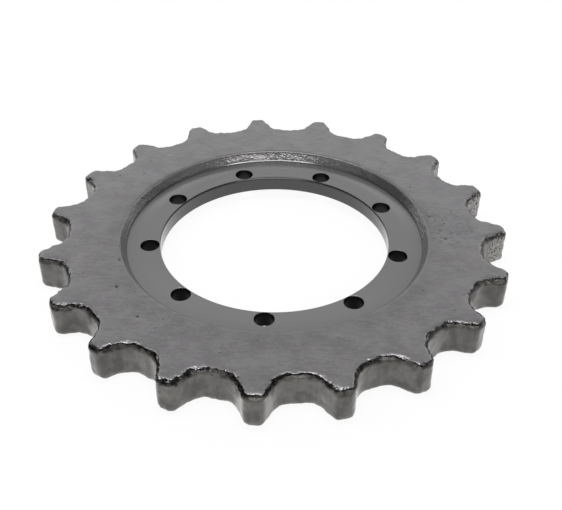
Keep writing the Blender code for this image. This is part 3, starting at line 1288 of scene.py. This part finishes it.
def table_white():
    """White that looks white to the camera and in reflections, and keeps a faint shadow."""
    material = bpy.data.materials.new("table_white")
    material.use_nodes = True
    sheet = NodeSheet(material.node_tree)
    material.node_tree.nodes.remove(material.node_tree.nodes["Principled BSDF"])
    end = material.node_tree.nodes["Material Output"]
    lit = sheet.node("ShaderNodeBsdfDiffuse", {}, {"Color": TABLE_COLOUR})
    glow = sheet.node("ShaderNodeEmission", {}, {"Color": WHITE, "Strength": 1.0})
    mirrored = ray_is(sheet, "Glossy").math("MAXIMUM", ray_is(sheet, "Transmission"))
    seen = ray_is(sheet, "Camera") * CAMERA_SHARE + mirrored * MIRROR_SHARE
    mixed = sheet.node("ShaderNodeMixShader", {}, (seen, lit, glow))
    material.node_tree.links.new(mixed.socket, end.inputs["Surface"])
    return material


# The lowest lumps of the cast skin reach just below the bench, so the floor lies a hair lower.
bpy.ops.object.select_all(action="DESELECT")
bpy.ops.mesh.primitive_plane_add(size=FLOOR_SIZE, location=(0, 0, cad_low.z - FLOOR_GAP))
floor = bpy.context.object
floor.name = "table"
floor.data.materials.append(table_white())
print(f"floor laid at height {floor.location.z / MILLIMETRE:.1f} mm")

# %% [markdown]
# ## The room that the metal mirrors
#
# Dark, smooth metal shows mostly what it mirrors, so the room matters as much as the lamps. The
# room is a world whose strength depends on the direction. Beyond the ring there is a bright band,
# which the flat faces mirror towards the camera, and two bright low corners. The sides, the front
# and the ceiling above the camera are dimmer. One narrow softbox behind the camera is very
# bright, and it draws the glints along the rounds of the nearest teeth. The pairs of numbers are
# shares of the direction along an axis, from -1 to 1.

# %% Light the room
ROOM_LEVEL = 0.60
CEILING_DROP = 0.48
FAR_BAND_GLOW = 1.78
SIDE_DROP = 0.55
CORNER_GLOW = 1.0
FRONT_DROP = 0.30
SOFTBOX_GLOW = 8.0
CEILING_END = (-0.45, 0.05)
CEILING_EDGE = (0.48, 0.70)
BAND_START = (0.1, 0.6)
BAND_FOOT = (0.25, 0.45)
BAND_TOP = (0.48, 0.68)
LOW_EDGE = (0.25, 0.50)
SIDE_EDGE = (0.62, 0.84)
SIDE_END = (0.38, 0.55)
LEFT_EDGE = (-0.90, -0.70)
LEFT_TOP = (0.42, 0.58)
CORNER_EDGE = (0.48, 0.60)
CORNER_START = (0.42, 0.58)
CORNER_TOP = (0.15, 0.28)
CORNER_END = (0.62, 0.82)
FRONT_EDGE = (-0.75, -0.30)
SOFTBOX_START = (-0.72, -0.66)
SOFTBOX_FOOT = (0.31, 0.37)
SOFTBOX_TOP = (0.45, 0.51)
SOFTBOX_LEFT = (-0.46, -0.30)


def room_zones(sheet):
    """The parts of the room, each 1 in its own directions and 0 in the others."""
    direction = sheet.node("ShaderNodeTexCoord", {}, (), output="Generated")
    rightwards = sheet.axis(direction, "X")
    beyond = sheet.axis(direction, "Y")
    rise = sheet.axis(direction, "Z")
    across = rightwards.math("ABSOLUTE")
    low = 1 - rise.rise(*LOW_EDGE)

    zones = SimpleNamespace()
    zones.ceiling = (1 - beyond.rise(*CEILING_END)) * rise.rise(*CEILING_EDGE)
    band = beyond.rise(*BAND_START) * rise.rise(*BAND_FOOT)
    zones.far_band = band * (1 - rise.rise(*BAND_TOP))
    left_side = (1 - rightwards.rise(*LEFT_EDGE)) * (1 - rise.rise(*LEFT_TOP))
    sides = (across.rise(*SIDE_EDGE) * low).math("MAXIMUM", left_side)
    zones.sides = sides * (1 - beyond.rise(*SIDE_END))
    corners = across.rise(*CORNER_EDGE) * beyond.rise(*CORNER_START)
    corners = corners * (1 - rise.rise(*CORNER_TOP))
    zones.corners = corners * (1 - rightwards.rise(*CORNER_END))
    zones.front = (1 - beyond.rise(*FRONT_EDGE)) * low
    softbox = (1 - beyond.rise(*SOFTBOX_START)) * rise.rise(*SOFTBOX_FOOT)
    softbox = softbox * (1 - rise.rise(*SOFTBOX_TOP))
    zones.softbox = softbox * rightwards.rise(*SOFTBOX_LEFT)
    return zones


def studio_world():
    """A room with bright and dim parts that looks plain white to the camera."""
    world = bpy.data.worlds.new("studio")
    bpy.context.scene.world = world
    world.use_nodes = True
    sheet = NodeSheet(world.node_tree)
    zones = room_zones(sheet)
    room = ROOM_LEVEL - CEILING_DROP * zones.ceiling + FAR_BAND_GLOW * zones.far_band
    room = room - SIDE_DROP * zones.sides + CORNER_GLOW * zones.corners
    room = room - FRONT_DROP * zones.front + SOFTBOX_GLOW * zones.softbox
    room = room.math("MAXIMUM", 0.0)
    seen = ray_is(sheet, "Camera")
    strength = room * (1 - seen) + seen
    background = world.node_tree.nodes["Background"]
    world.node_tree.links.new(strength.socket, background.inputs["Strength"])
    background.inputs["Color"].default_value = WHITE


studio_world()
print("room lit")

# %% [markdown]
# ## The lamps
#
# Two large soft lamps hang above the ring and face it, one overhead and a weaker one to the left.
# They light the flat faces and lay a faint soft shadow on the table. A large lamp far away gives
# the same soft light as a studio's softbox, without a hard spot on the metal.

# %% Hang the lamps
# Name, width, depth, place and power.
LAMPS = (
    ("overhead_light", 0.60, 0.26, (0.00, -0.04, 1.30), 7.0),
    ("left_light", 0.36, 0.16, (-0.70, -0.06, 1.30), 2.5),
)


def soft_light(name, width, depth, place, power):
    """A large soft lamp at a place, facing the middle of the ring."""
    bpy.ops.object.light_add(type="AREA", location=place)
    lamp = bpy.context.object
    lamp.name = name
    lamp.data.shape = "RECTANGLE"
    lamp.data.size = width
    lamp.data.size_y = depth
    lamp.data.energy = power
    aim = Vector((0, 0, 0)) - Vector(place)
    lamp.rotation_euler = aim.to_track_quat("-Z", "Y").to_euler()


for lamp_settings in LAMPS:
    soft_light(*lamp_settings)
print("lamps:", ", ".join(name for name, *rest in LAMPS))

# %% [markdown]
# ## Plain view settings
#
# The colours are shown as they are, without a film look, so that the paint can be compared with
# the photograph.

# %% Set the view and finish
bpy.context.scene.view_settings.view_transform = "Standard"
